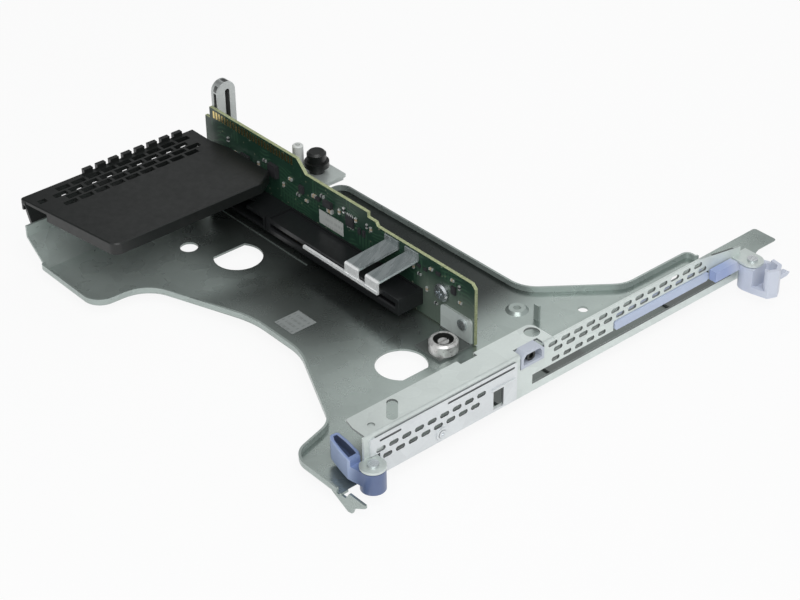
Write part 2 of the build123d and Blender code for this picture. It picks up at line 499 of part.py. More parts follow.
# Card-end guide: a moulded plate with a skirt, over the tray's end wall
GL = [(-7.6, GUIDE_Y1), (1.2, GUIDE_Y0), (GUIDE_X1 - 6.0, GUIDE_Y0), (GUIDE_X1 + 2.6, 168.0),
      (GUIDE_X1 + 2.6, 196.0), (GUIDE_X1, 208.0), (GUIDE_X1, GUIDE_Y1)]
GR = [((1.2, GUIDE_Y0), 4.0), ((GUIDE_X1 - 6.0, GUIDE_Y0), 5.0), ((GUIDE_X1 + 2.6, 168.0), 3.0),
      ((-7.6, GUIDE_Y1), 1.0)]
gf, guide = plate_z(GL, GUIDE_Z - 5.4, GUIDE_Z, GR)
guide -= Pos(0, 0, GUIDE_Z - 8) * extrude(offset(gf, -GUIDE_T), 8 - GUIDE_T)
top_edges = [e for e in guide.edges() if abs(e.bounding_box().min.Z - GUIDE_Z) < 1e-4]
guide = chamfer(top_edges, 0.5)
# the side skirt stops short of the rear wall, the right side is open
guide -= box(-10.0, -1.2, 205.0, GUIDE_Y1 - GUIDE_T, GUIDE_Z - 8, GUIDE_Z - GUIDE_T)
guide -= box(GUIDE_X1 - 2.0, GUIDE_X1 + 4.0, 172.0, GUIDE_Y1 - GUIDE_T, GUIDE_Z - 8, GUIDE_Z - GUIDE_T)
# rear wall down to the end wall of the tray
guide += prism_y([(-4.4, 11.2), (GUIDE_X1 - 0.2, 11.2), (GUIDE_X1 - 0.2, GUIDE_Z - 1.0), (-7.4, GUIDE_Z - 1.0)],
                 END_Y + SHEET + 0.0, END_Y + SHEET + 1.8)
guide += box(-7.4, GUIDE_X1 - 0.2, END_Y + SHEET, GUIDE_Y1 - 0.6, GUIDE_Z - GUIDE_T - 1.0, GUIDE_Z - GUIDE_T + 0.2)
# ribs under the plate that catch the far end of a card
for rx in (14.0, 40.0, 66.0):
    guide += box(rx - 0.8, rx + 0.8, 176.0, 201.0, GUIDE_Z - GUIDE_T - 6.0, GUIDE_Z - GUIDE_T + 0.1)
# grille in the plate: four staggered rows
GRILLE_P, GRILLE_L, GRILLE_W = 8.0, 6.6, 3.1
for row in range(4):
    for i in range(9):
        gx = 4.0 + i * GRILLE_P + (GRILLE_P / 2 if row % 2 else 0.0)
        gy = 204.4 + row * 4.2
        guide -= box(gx, gx + GRILLE_L, gy - GRILLE_W / 2, gy + GRILLE_W / 2, GUIDE_Z - GUIDE_T - 0.2, GUIDE_Z + 1)
guide -= box(-3.8, 0.2, 211.4, 214.4, GUIDE_Z - GUIDE_T - 0.2, GUIDE_Z + 1)
# teeth on the rear edge and slots in the rear wall
for i in range(8):
    tx = 27.0 + i * 6.9
    guide += box(tx - 2.3, tx + 2.3, GUIDE_Y1 - 1.6, GUIDE_Y1 + 0.6, GUIDE_Z - 3.0, GUIDE_Z + 1.9)
for row in range(2):
    for i in range(9):
        wx = 11.0 + i * GRILLE_P
        guide -= box(wx, wx + 5.0, END_Y + SHEET - 1, GUIDE_Y1 + 1, 16.8 + row * 4.2, 19.0 + row * 4.2)
for sx, sz in GUIDE_SCREW:
    guide -= cyl_y(sx, END_Y, END_Y + 5.0, sz, 1.5 + HOLE_FIT)
write(guide, "card_end_guide")
gs = []
for sx, sz in GUIDE_SCREW:
    s = cyl_y(sx, END_Y - 1.6, END_Y, sz, 2.3)
    s = chamfer([e for e in s.edges() if abs(e.center().Y - (END_Y - 1.6)) < 0.01], 0.6)
    s += cyl_y(sx, END_Y - 0.05, END_Y + 4.4, sz, 1.5)
    s -= Pos(sx, END_Y - 1.6, sz) * Box(3.4, 1.4, 0.7)
    s -= Pos(sx, END_Y - 1.6, sz) * Box(0.7, 1.4, 3.4)
    gs.append(s)
write(Compound(children=gs), "guide_screws")

# Alignment tongue at the far end
TX, TY, T_R, T_TOP = BOARD_X + 7.0, 211.4, 5.1, 46.3
tongue = box(TX - T_R, TX + T_R, TY, TY + 4.4, 0.0, T_TOP) + cyl_y(TX, TY, TY + 4.4, T_TOP, T_R)
tongue -= box(TX - 0.6, TX + 1.9, TY - 1.0, TY + 3.2, 20.0, T_TOP) + cyl_y(TX + 0.65, TY - 1.0, TY + 3.2, T_TOP, 1.25)
tongue -= box(TX - T_R - 1.0, TX - T_R + 1.2, TY + 0.6, TY + 2.6, 20.0, T_TOP)
tongue += box(TX - T_R, TX + T_R, TY - 12.0, TY + 0.2, 0.0, SHEET)
tongue -= cyl(TX, TY - 6.0, -1.0, 2.0, 1.6)
write(tongue, "alignment_tongue")

# Knob bracket, knob and standoff beyond the board
EARZ = 24.0
KX, KY = BOARD_X + 16.4, 158.6     # knob axis
SX, SY = BOARD_X + 11.4, 165.4     # standoff axis
K0, K1 = BOARD_X + 8.6, BOARD_X + 24.6
kf, kb = plate_z([(K0, 149.0), (K1, 147.4), (K1, 161.4), (BOARD_X + 17.0, 169.0), (K0, 169.0)], EARZ - SHEET, EARZ,
                 [((K1, 147.4), 1.5), ((K1, 161.4), 2.0)])
kb += box(K0, K0 + SHEET, 159.4, 169.0, 0.0, EARZ)
kb += box(K0, K1 - 0.6, 160.2, 169.0, 0.0, SHEET)
kb += box(K0 + 0.8, K1 - 1.0, 149.0, 149.0 + SHEET, EARZ - 3.0, EARZ - 0.2)
for rx, ry in RIVETS:
    kb -= cyl(rx, ry, -1, 2, 1.5)
kb -= cyl(KX, KY, 20.0, 26.0, 2.4 + HOLE_FIT)
kb -= cyl(SX, SY, 20.0, 26.0, 1.4 + HOLE_FIT)
write(kb, "knob_bracket")
write(Compound(children=[cyl(rx, ry, -SHEET, SHEET + 0.8, 1.5) + cyl(rx, ry, SHEET, SHEET + 0.8, 2.6)
                         for rx, ry in RIVETS]), "bracket_rivets")
knob = cyl(KX, KY, EARZ + 4.0, EARZ + 10.4, 4.4)
knob = chamfer([e for e in knob.edges() if abs(e.center().Z - (EARZ + 10.4)) < 0.01], 1.0)
knob += cyl(KX, KY, EARZ, EARZ + 3.4, 3.4) + cyl(KX, KY, EARZ + 3.0, EARZ + 5.6, 5.6)
knob += cyl(KX, KY, EARZ - 4.0, EARZ + 0.5, 2.4)
write(knob, "black_knob")
POST_TOP = 36.6
post = cyl(SX, SY, EARZ, POST_TOP, 2.5)
post = chamfer([e for e in post.edges() if abs(e.center().Z - POST_TOP) < 0.01], 0.5)
post += cyl(SX, SY, EARZ - 2.0, EARZ + 0.2, 1.4)
post -= cyl(SX, SY, POST_TOP - 4.6, POST_TOP + 1, 1.1)
write(post, "clear_standoff")
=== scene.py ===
import math

import bmesh
import bpy
from mathutils import Matrix, Vector


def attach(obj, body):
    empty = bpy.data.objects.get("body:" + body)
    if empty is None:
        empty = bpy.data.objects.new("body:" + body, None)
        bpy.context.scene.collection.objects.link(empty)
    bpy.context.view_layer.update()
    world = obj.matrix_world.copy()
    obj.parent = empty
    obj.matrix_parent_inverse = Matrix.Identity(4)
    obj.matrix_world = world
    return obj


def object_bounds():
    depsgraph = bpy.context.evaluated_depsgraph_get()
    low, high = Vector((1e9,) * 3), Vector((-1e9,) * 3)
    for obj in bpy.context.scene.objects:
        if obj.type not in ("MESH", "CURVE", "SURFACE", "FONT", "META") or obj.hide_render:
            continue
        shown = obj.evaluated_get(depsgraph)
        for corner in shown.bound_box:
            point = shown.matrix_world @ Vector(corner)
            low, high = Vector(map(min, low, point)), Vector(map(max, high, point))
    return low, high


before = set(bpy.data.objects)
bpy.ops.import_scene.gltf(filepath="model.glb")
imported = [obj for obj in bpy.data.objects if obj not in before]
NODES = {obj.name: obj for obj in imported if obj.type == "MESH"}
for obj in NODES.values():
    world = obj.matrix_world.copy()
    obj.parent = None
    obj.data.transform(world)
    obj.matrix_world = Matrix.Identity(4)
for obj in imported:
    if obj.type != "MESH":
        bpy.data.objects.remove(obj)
cad_low, cad_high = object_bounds()

# The frame's origin lies on the guide hole. Places in this file are in mm from the panel's left end,
# the panel's outer face and the top of the tray floor.
DATUM = (47.9, 177.3)
MM = 0.001


def x_at(x):
    return (x - DATUM[0]) * MM


def y_at(y):
    return (y - DATUM[1]) * MM


def at(x, y, z):
    return Vector((x_at(x), y_at(y), z * MM))


def span_of(name, axis):
    """Least and greatest place of a CAD node along one axis, to a tenth of a mm."""
    places = [v.co[axis] / MM + (*DATUM, 0.0)[axis] for v in NODES[name].data.vertices]
    return round(min(places), 1), round(max(places), 1)


def middle_of(name):
    """Place of an upright round node's axis."""
    return tuple(round(sum(span_of(name, axis)) / 2, 1) for axis in (0, 1))


BOARD_FACE = span_of("riser_board", 0)[0]
LATCH_PIN = middle_of("left_latch_pin")
RING_SCREW = middle_of("captive_screw")


# Materials
def tint(color, factor):
    return tuple(min(1.0, c * factor) for c in color)


class Look:
    """A Principled material with short calls for its nodes."""

    def __init__(self, name, color, rough=0.5, metal=0.0, spec=0.5):
        self.m = bpy.data.materials.new(name)
        self.m.use_nodes = True
        self.nt = self.m.node_tree
        self.b = self.nt.nodes["Principled BSDF"]
        self.set(self.b, "Base Color", (*color, 1.0))
        self.set(self.b, "Roughness", rough)
        self.set(self.b, "Metallic", metal)
        self.set(self.b, "Specular IOR Level", spec)
        self.object = self.node("TexCoord").outputs["Object"]

    def set(self, node, name, value):
        node.inputs[name].default_value = value

    def link(self, out, inp):
        self.nt.links.new(out, inp)

    def use(self, name, out):
        self.link(out, self.b.inputs[name])

    def node(self, kind, **props):
        n = self.nt.nodes.new("ShaderNode" + kind)
        for k, v in props.items():
            setattr(n, k, v)
        return n

    def split(self, vec):
        n = self.node("SeparateXYZ")
        self.link(vec, n.inputs[0])
        return n.outputs

    def place(self):
        """X, Y and Z in the frame, in metres."""
        return self.split(self.object)

    def normal(self):
        return self.split(self.node("NewGeometry").outputs["Normal"])

    def stretched(self, scale):
        n = self.node("Mapping")
        self.set(n, "Scale", scale)
        self.link(self.object, n.inputs["Vector"])
        return n.outputs[0]

    def noise(self, scale, detail=4.0, vec=None):
        n = self.node("TexNoise")
        self.set(n, "Scale", scale)
        self.set(n, "Detail", detail)
        self.set(n, "Roughness", 0.55)
        self.link(vec or self.object, n.inputs["Vector"])
        return n.outputs["Fac"]

    def cells(self, scale, vec=None, out="Distance", rand=1.0):
        n = self.node("TexVoronoi")
        self.set(n, "Scale", scale)
        self.set(n, "Randomness", rand)
        self.link(vec or self.object, n.inputs["Vector"])
        return n.outputs[out]

    def ramp(self, fac, low, high, a=0.0, b=1.0, smooth=False):
        """Goes from a at low to b at high."""
        n = self.node("MapRange", interpolation_type="SMOOTHSTEP" if smooth else "LINEAR")
        for i, v in enumerate((low, high, a, b), start=1):
            n.inputs[i].default_value = v
        self.link(fac, n.inputs[0])
        return n.outputs[0]

    def math(self, op, *values):
        n = self.node("Math", operation=op)
        for inp, v in zip(n.inputs, values):
            if isinstance(v, (int, float)):
                inp.default_value = v
            else:
                self.link(v, inp)
        return n.outputs[0]

    def times(self, first, *others):
        for other in others:
            first = self.math("MULTIPLY", first, other)
        return first

    def most(self, first, *others):
        for other in others:
            first = self.math("MAXIMUM", first, other)
        return first

    def one_minus(self, part):
        return self.math("SUBTRACT", 1.0, part)

    def absolute(self, value):
        return self.math("ABSOLUTE", value)

    def above(self, value, edge):
        return self.math("GREATER_THAN", value, edge)

    def below(self, value, edge):
        return self.math("LESS_THAN", value, edge)

    def between(self, value, low, high):
        return self.times(self.above(value, low), self.below(value, high))

    def mix(self, fac, a, b):
        n = self.node("Mix", data_type="RGBA")
        for inp, v in ((n.inputs[0], fac), (n.inputs[6], a), (n.inputs[7], b)):
            if isinstance(v, tuple):
                inp.default_value = (*v, 1.0)
            else:
                self.link(v, inp)
        return n.outputs[2]

    def bump(self, height, strength, dist):
        n = self.node("Bump")
        self.set(n, "Strength", strength)
        self.set(n, "Distance", dist)
        self.link(height, n.inputs["Height"])
        self.use("Normal", n.outputs[0])


def sheet_metal(name, color, rough, metal, spangle=0.05, nook=None, line=None, dull=None):
    """Galvanised sheet with faint spangle cells and soft stains.

    nook gives where shade is painted, line where a highlight line is painted, and dull where the sheet is
    less shiny.
    """
    k = Look(name, color, rough, metal)
    cell = k.split(k.cells(150.0, out="Color"))[0]
    fine = k.noise(900.0, 5.0)
    clouds = k.ramp(k.noise(14.0, 3.0), 0.3, 0.7, -0.06, 0.06)
    shift = k.math("ADD", k.ramp(cell, 0, 1, -spangle, spangle), clouds)
    shift = k.math("ADD", shift, k.ramp(fine, 0.3, 0.7, -0.015, 0.015))
    col = k.mix(k.ramp(shift, -0.25, 0.25), tint(color, 0.72), tint(color, 1.22))
    if line:
        # painted highlight: the line's colour is raised to nearly twice the sheet's
        col = k.mix(line(k), col, tint(color, 1.9))
    if nook:
        shade = nook(k)
        if line:
            shade = k.times(shade, k.one_minus(k.times(line(k), 0.9)))
        # painted shade: the masked places sink toward a sixth of the sheet's colour
        col = k.mix(shade, col, tint(color, 0.16))
    k.use("Base Color", col)
    # folded edges and walls are duller than the flat of the sheet
    shine = k.ramp(k.absolute(k.normal()[2]), 0.5, 0.9, metal * 0.35, metal)
    if dull:
        shine = k.times(shine, k.one_minus(dull(k)))
    k.use("Metallic", shine)
    worn = k.ramp(k.noise(60.0, 2.0), 0.3, 0.7, rough - 0.02, rough + 0.03)
    k.use("Roughness", k.math("ADD", worn, k.ramp(cell, 0, 1, -0.02, 0.02)))
    k.bump(fine, 0.004, 0.00002)
    return k


def behind_panel(k):
    """Shade on the tray floor: behind the panel, beyond the board and beside the slot connector."""
    x, y, z = k.place()
    left_end = k.ramp(x, x_at(-2.0), x_at(4.0), smooth=True)
    right_end = k.ramp(x, x_at(190.0), x_at(206.0), 1.0, 0.0, True)
    near = k.ramp(y, y_at(13.0), y_at(25.0), 0.75, 0.0, True)
    near = k.times(near, k.ramp(y, y_at(1.0), y_at(1.6)), left_end, right_end)
    beyond = k.times(k.ramp(y, y_at(40.0), y_at(66.0), smooth=True), k.ramp(x, x_at(91.0), x_at(99.0)))
    beside = k.ramp(x, x_at(14.0), x_at(52.0), 0.0, 0.92, True)
    beside = k.times(beside, k.ramp(y, y_at(48.0), y_at(98.0), smooth=True))
    under = k.ramp(x, x_at(40.0), x_at(68.0), 0.0, 0.62, True)
    reach = k.ramp(y, y_at(126.0), y_at(144.0), smooth=True)
    deep_shade = k.math("ADD", k.times(beside, k.one_minus(reach)), k.times(under, reach))
    return k.times(k.most(near, beyond, deep_shade), k.below(z, 0.2 * MM))


def shaded_hole_walls(k, y0, y1):
    """Painted shade on the walls of the holes punched in a sheet that faces Y and lies between y0 and y1."""
    x, y, z = k.place()
    field = k.times(k.between(x, x_at(5.0), x_at(204.5)), k.between(z, 2.2 * MM, 19.3 * MM))
    wall = k.below(k.absolute(k.normal()[1]), 0.5)
    return k.times(field, k.between(y, y_at(y0), y_at(y1)), wall, 0.85)


def panel_nooks(k):
    """Shade between the panel's feet and in the slots of its flange."""
    _, y, z = k.place()
    feet = k.times(k.below(z, 1.2 * MM), k.above(y, y_at(1.05)), 0.9)
    steep = k.below(k.absolute(k.normal()[2]), 0.4)
    slots = k.times(k.above(z, 19.62 * MM), steep, k.between(y, y_at(1.3), y_at(13.2)), 0.75)
    return k.most(feet, slots, shaded_hole_walls(k, 0.04, 0.96))


def inside_box(k, low, high):
    """1 between two corners, 0 elsewhere."""
    low, high = at(*low), at(*high)
    return k.times(*[k.between(axis, low[i], high[i]) for i, axis in enumerate(k.place())])


def painted_highlight_line(k):
    """Painted highlight line on the floor beside the near-face slot."""
    return inside_box(k, (77.0, 131.0, -0.1), (78.0, 196.0, 0.1))


def under_guide(k):
    """The sheet is paler and duller where the card-end guide covers it."""
    x, y, _ = k.place()
    covered = k.ramp(y, y_at(130.0), y_at(146.0), 0.0, 0.42, True)
    return k.times(covered, k.ramp(x, x_at(36.0), x_at(62.0), 1.0, 0.0, True))


def tongue_slots(k):
    """Shade in the tongue's two upright slots."""
    front = inside_box(k, (96.35, 211.5, 18.0), (98.95, 214.7, 60.0))
    side = inside_box(k, (91.95, 211.95, 18.0), (93.15, 214.05, 60.0))
    return k.times(k.most(front, side), 0.92)


def blank_groove_shade(k):
    """Painted shade on the floor of the blank's pressed grooves and on its holes' walls."""
    floor_of_groove = k.below(k.absolute(k.math("SUBTRACT", k.place()[1], y_at(-0.4))), 0.12 * MM)
    flat = k.below(k.normal()[1], -0.9)
    return k.most(k.times(floor_of_groove, flat, 0.95), shaded_hole_walls(k, -0.76, -0.04))


def plastic(name, color, rough, grain, spec=0.5):
    k = Look(name, color, rough, 0.0, spec)
    k.use("Base Color", k.mix(k.ramp(k.noise(30.0, 2.0), 0.3, 0.7), tint(color, 0.88), tint(color, 1.12)))
    k.use("Roughness", k.ramp(k.noise(420.0), 0.3, 0.7, rough - 0.05, rough + 0.07))
    k.bump(k.noise(2600.0, 3.0), grain, 0.00003)
    return k


def left_latch_blue(name, lit_blue, blue, deep_shade):
    """Painted light on the handle's outer side, where faces turned to -X get the lighter blue; painted shade
    round the barrel and in the handle's pocket.
    """
    k = Look(name, blue, 0.3, 0.0, 0.8)
    x, y, _ = k.place()
    pin_x, pin_y = LATCH_PIN
    along = k.math("DIVIDE", k.math("SUBTRACT", y, y_at(pin_y + 7.4)), MM)
    across = k.math("DIVIDE", k.math("SUBTRACT", x, x_at(pin_x)), MM)
    # the handle's two sides lean, so the pocket is measured from lines along them
    left_side = k.math("ADD", k.times(along, 0.227), -6.2)
    right_side = k.math("ADD", k.times(along, 0.114), 0.4)
    # painted shade in the handle's pocket
    pocket = k.times(k.above(k.math("SUBTRACT", across, left_side), 0.9),
                     k.above(k.math("SUBTRACT", right_side, across), 0.9),
                     inside_box(k, (-20.0, pin_y + 8.0, 8.0), (20.0, pin_y + 22.2, 12.0)), 0.85)
    # painted light on faces turned to -X
    side = k.mix(k.ramp(k.normal()[0], -1.0, 0.3), lit_blue, blue)
    # painted shade round the barrel
    barrel = k.ramp(y, y_at(pin_y + 1.0), y_at(pin_y + 8.0), 1.0, 0.0, True)
    k.use("Base Color", k.mix(pocket, k.mix(barrel, side, deep_shade), tint(blue, 0.2)))
    k.use("Roughness", k.ramp(k.noise(200.0, 2.0), 0.3, 0.7, 0.28, 0.34))
    return k


def right_latch_pale(name, arm, hub):
    """Painted shade along the arm in front of the panel, which is bluer and darker; lighter at the outer end.
    """
    k = Look(name, hub, 0.34, 0.0, 0.6)
    out = k.ramp(k.place()[0], x_at(194.0), x_at(207.0), smooth=True)
    # painted shade: the arm's darker blue fades out toward the outer end
    k.use("Base Color", k.mix(out, arm, hub))
    k.use("Roughness", k.ramp(k.noise(200.0, 2.0), 0.3, 0.7, 0.31, 0.38))
    return k


def bright_metal(name, color, rough, metal=1.0):
    """Plated metal with fine lines across Y."""
    k = Look(name, color, rough, metal)
    lines = k.noise(260.0, vec=k.stretched((1, 12, 1)))
    k.use("Roughness", k.ramp(lines, 0.3, 0.7, rough - 0.06, rough + 0.10))
    k.use("Base Color", k.mix(k.ramp(k.noise(60.0), 0.35, 0.65), tint(color, 0.86), color))
    k.bump(lines, 0.05, 0.00003)
    return k


def clip_steel(name):
    """Painted highlight where the straps turn down over the connector, greyer on their slopes."""
    k = Look(name, (0.8, 0.82, 0.83), 0.24, 0.55)
    # painted highlight: near white and less metallic on the outer turn of the straps
    outer = k.ramp(k.place()[0], x_at(76.0), x_at(76.6), 1.0, 0.0)
    lines = k.noise(120.0, 2.0, k.stretched((1, 3, 1)))
    slope = k.mix(k.ramp(lines, 0.3, 0.7), (0.34, 0.385, 0.39), (0.45, 0.495, 0.50))
    k.use("Base Color", k.mix(outer, slope, (0.93, 0.94, 0.94)))
    k.use("Metallic", k.ramp(outer, 0, 1, 0.65, 0.15))
    k.use("Roughness", k.ramp(lines, 0.3, 0.7, 0.2, 0.34))
    k.bump(lines, 0.06, 0.00003)
    return k


def ringed_screw(name, ring_in, ring_out):
    """Light head with painted shade in the ring recess round its middle."""
    k = Look(name, (0.72, 0.72, 0.71), 0.3, 0.5)
    x, y, _ = k.place()
    dx = k.math("SUBTRACT", x, x_at(RING_SCREW[0]))
    dy = k.math("SUBTRACT", y, y_at(RING_SCREW[1]))
    radius = k.math("SQRT", k.math("ADD", k.times(dx, dx), k.times(dy, dy)))
    # painted shade on the ring
    ring = k.between(radius, ring_in * MM, ring_out * MM)
    wear = k.ramp(k.noise(500.0), 0.35, 0.65)
    k.use("Base Color", k.mix(ring, k.mix(wear, (0.56, 0.55, 0.54), (0.78, 0.77, 0.76)), (0.05, 0.052, 0.05)))
    k.use("Roughness", k.ramp(wear, 0, 1, 0.24, 0.4))
    k.bump(wear, 0.08, 0.00004)
    return k


def stripes(k, value, per_metre, solid, clear):
    """Thin lines at an even pitch, full to the share solid of the pitch and gone at clear."""
    saw = k.math("FRACT", k.times(value, per_metre))
    return k.ramp(k.absolute(k.math("SUBTRACT", saw, 0.5)), solid, clear, 1.0, 0.0)


def circuit(name):
    """Solder mask with tracks and via dots, and bare glass-fibre colour on the cut edges."""
    k = Look(name, (0.012, 0.045, 0.025), 0.3)
    _, y, z = k.place()
    on_board = k.stretched((0.0, 1.0, 1.0))
    bends = k.ramp(k.noise(32.0, 2.0, on_board), 0.3, 0.7, 0.0, 0.006)
    long_tracks = k.times(stripes(k, k.math("ADD", z, bends), 560.0, 0.16, 0.24),
                          k.ramp(k.noise(75.0, 1.0, on_board), 0.46, 0.54))
    tall_tracks = k.times(stripes(k, y, 480.0, 0.18, 0.26),
                          k.ramp(k.noise(90.0, 1.0, on_board), 0.56, 0.60))
    tracks = k.most(long_tracks, tall_tracks)
    vias = k.ramp(k.cells(330.0, on_board, rand=0.75), 0.12, 0.16, 1.0, 0.0)
    col = k.mix(k.times(tracks, 0.75), (0.014, 0.044, 0.028), (0.040, 0.100, 0.058))
    col = k.mix(k.times(vias, 0.6), col, (0.30, 0.31, 0.22))
    cut_edge = k.ramp(k.absolute(k.normal()[0]), 0.4, 0.6, 1.0, 0.0)
    weave = k.ramp(k.noise(1400.0, 2.0), 0.35, 0.65)
    col = k.mix(cut_edge, col, k.mix(weave, (0.30, 0.34, 0.18), (0.46, 0.49, 0.29)))
    # painted light: the board's face is lighter by the near foot
    lit_patch = k.times(k.ramp(y, y_at(76.0), y_at(66.0), smooth=True),
                     k.ramp(z, 27.0 * MM, 14.0 * MM, 0.0, 0.8, True), k.one_minus(cut_edge))
    k.use("Base Color", k.mix(lit_patch, col, (0.15, 0.185, 0.155)))
    k.use("Roughness", k.ramp(cut_edge, 0, 1, 0.3, 0.75))
    k.bump(tracks, 0.25, 0.00005)
    return k


def paper(name, sheet, print_grey):
    """Plain label: grey bars only."""
    k = Look(name, sheet, 0.5)
    x, y, z = k.place()
    bars = k.above(k.noise(1500.0, 0.0, k.stretched((0, 1, 0))), 0.52)
    rows = k.above(k.math("FRACT", k.times(k.math("ADD", x, z), 330.0)), 0.55)
    faint = k.ramp(k.math("FRACT", k.times(y, 520.0)), 0.0, 1.0, 0.35, 0.5)
    k.use("Base Color", k.mix(k.times(bars, rows, faint), sheet, print_grey))
    return k


TRAY_SHEET = sheet_metal("GalvanisedSheet", (0.42, 0.48, 0.455), 0.28, 0.85,
                         nook=behind_panel, line=painted_highlight_line, dull=under_guide)
PANEL_SHEET = sheet_metal("PanelSheet", (0.70, 0.76, 0.735), 0.36, 0.60, nook=panel_nooks)
BLANK_SHEET = sheet_metal("BlankSheet", (0.78, 0.81, 0.83), 0.34, 0.55, spangle=0.03, nook=blank_groove_shade)
TONGUE_STEEL = sheet_metal("TongueSteel", (0.60, 0.63, 0.62), 0.32, 0.75, nook=tongue_slots)
PLATED_SCREW = bright_metal("PlatedScrew", (0.72, 0.75, 0.77), 0.26)
CLIP_STEEL = clip_steel("ClipSteel")
RINGED_SCREW = ringed_screw("RingedScrew", 2.4, 4.3)
GOLD = bright_metal("GoldContacts", (0.83, 0.66, 0.28), 0.25)
SOLDER_ENDS = bright_metal("SolderEnds", (0.86, 0.87, 0.86), 0.24, 0.6)
LATCH_BLUE = left_latch_blue("LatchBlue", (0.42, 0.51, 0.73), (0.19, 0.27, 0.52), (0.10, 0.145, 0.285))
LATCH_PALE = right_latch_pale("LatchPale", (0.36, 0.44, 0.70), (0.66, 0.70, 0.80))
BAR_PALE = plastic("BarPale", (0.50, 0.57, 0.73), 0.38, 0.12)
HOOD_PALE = plastic("HoodPale", (0.52, 0.56, 0.64), 0.36, 0.1)
BLACK_PLASTIC = plastic("BlackPlastic", (0.010, 0.0115, 0.011), 0.36, 0.15)
CONNECTOR = plastic("ConnectorPlastic", (0.012, 0.013, 0.014), 0.34, 0.25)
CHIP_BODY = plastic("ChipBody", (0.03, 0.03, 0.033), 0.45, 0.25)
CAPACITOR = plastic("CapacitorBody", (0.42, 0.33, 0.22), 0.45, 0.1)
CLEAR_NYLON = plastic("ClearNylon", (0.72, 0.74, 0.72), 0.3, 0.25)
BOARD = circuit("CircuitBoard")
WHITE_PAPER = paper("PlainLabel", (0.50, 0.52, 0.50), (0.16, 0.17, 0.17))
# painted shade: the floor label's paper is given a darker grey than the board label's
SHADED_PAPER = paper("ShadedLabel", (0.25, 0.27, 0.265), (0.06, 0.065, 0.065))

LOOKS = {
    "tray": TRAY_SHEET,
    "rear_panel": PANEL_SHEET,
    "slot_blank": BLANK_SHEET,
    "blank_screw": PLATED_SCREW,
    "retainer_bar": BAR_PALE,
    "fastener_hood": HOOD_PALE,
    "hood_screw": BLACK_PLASTIC,
    "left_latch": LATCH_BLUE,
    "left_latch_pin": PLATED_SCREW,
    "right_latch": LATCH_PALE,
    "right_latch_pin": PLATED_SCREW,
    "riser_board": BOARD,
    "edge_contacts": GOLD,
    "left_slot_connector": CONNECTOR,
    "right_slot_connector": CONNECTOR,
    "left_slot_contacts": GOLD,
    "right_slot_contacts": GOLD,
    "sideband_header": CONNECTOR,
    "retention_straps": CLIP_STEEL,
    "board_screws": PLATED_SCREW,
    "board_bracket": PANEL_SHEET,
    "bracket_rivet": PLATED_SCREW,
    "captive_screw": RINGED_SCREW,
    "board_parts": CHIP_BODY,
    "board_label": WHITE_PAPER,
    "floor_label": SHADED_PAPER,
    "card_end_guide": BLACK_PLASTIC,
    "guide_screws": PLATED_SCREW,
    "alignment_tongue": TONGUE_STEEL,
    "knob_bracket": PANEL_SHEET,
    "bracket_rivets": PLATED_SCREW,
    "black_knob": BLACK_PLASTIC,
    "clear_standoff": CLEAR_NYLON,
}
for name, obj in NODES.items():
    obj.data.materials.clear()
    obj.data.materials.append(LOOKS[name].m)


# Small parts on the riser board's near face
def brick(bm, low, high, slot, bevel=0.0):
    """A block between two corners, in one of the piece's material slots."""
    low, high = at(*low), at(*high)
    place = Matrix.Translation((low + high) / 2) @ Matrix.Diagonal((high - low).to_4d())
    made = bmesh.ops.create_cube(bm, size=1.0, matrix=place)
    faces = list({f for v in made["verts"] for f in v.link_faces})
    for f in faces:
        f.material_index = slot
    if bevel:
        edges = list({e for f in faces for e in f.edges})
        bmesh.ops.bevel(bm, geom=edges, offset=bevel * MM, segments=2, profile=0.5, affect="EDGES",
                        material=-1)


def add_piece(name, bm, looks, body="root"):
    mesh = bpy.data.meshes.new(name)
    bm.to_mesh(mesh)
    bm.free()
    for look in looks:
        mesh.materials.append(look.m)
    obj = bpy.data.objects.new(name, mesh)
    bpy.context.scene.collection.objects.link(obj)
    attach(obj, body)


BLACK_BODY, TAN_BODY, SOLDER = 0, 1, 2      # material slots of the small parts
SEAT = 0.02                 # they stand this far off the board
EDGE_ROUND = 0.06           # round on a body's edges
END_SHARE = 0.24            # share of the length that a plated end takes
END_PROUD = 0.05            # a plated end stands out this far


def chip(bm, y, z, size_y, size_z, height, body):
    """A body between two plated ends, which lie along its longer side."""
    face = BOARD_FACE - SEAT
    brick(bm, (face - height, y - size_y / 2, z - size_z / 2), (face, y + size_y / 2, z + size_z / 2),
          body, EDGE_ROUND)
    upright = size_z > size_y
    half_end = END_SHARE * (size_z if upright else size_y) / 2
    for side in (-1, 1):
        if upright:
            end_y, end_z = y, z + side * (size_z / 2 - half_end)
            half_y, half_z = size_y / 2 + END_PROUD, half_end + END_PROUD
        else:
            end_y, end_z = y + side * (size_y / 2 - half_end), z
            half_y, half_z = half_end + END_PROUD, size_z / 2 + END_PROUD
        brick(bm, (face - height - END_PROUD, end_y - half_y, end_z - half_z),
              (face, end_y + half_y, end_z + half_z), SOLDER)


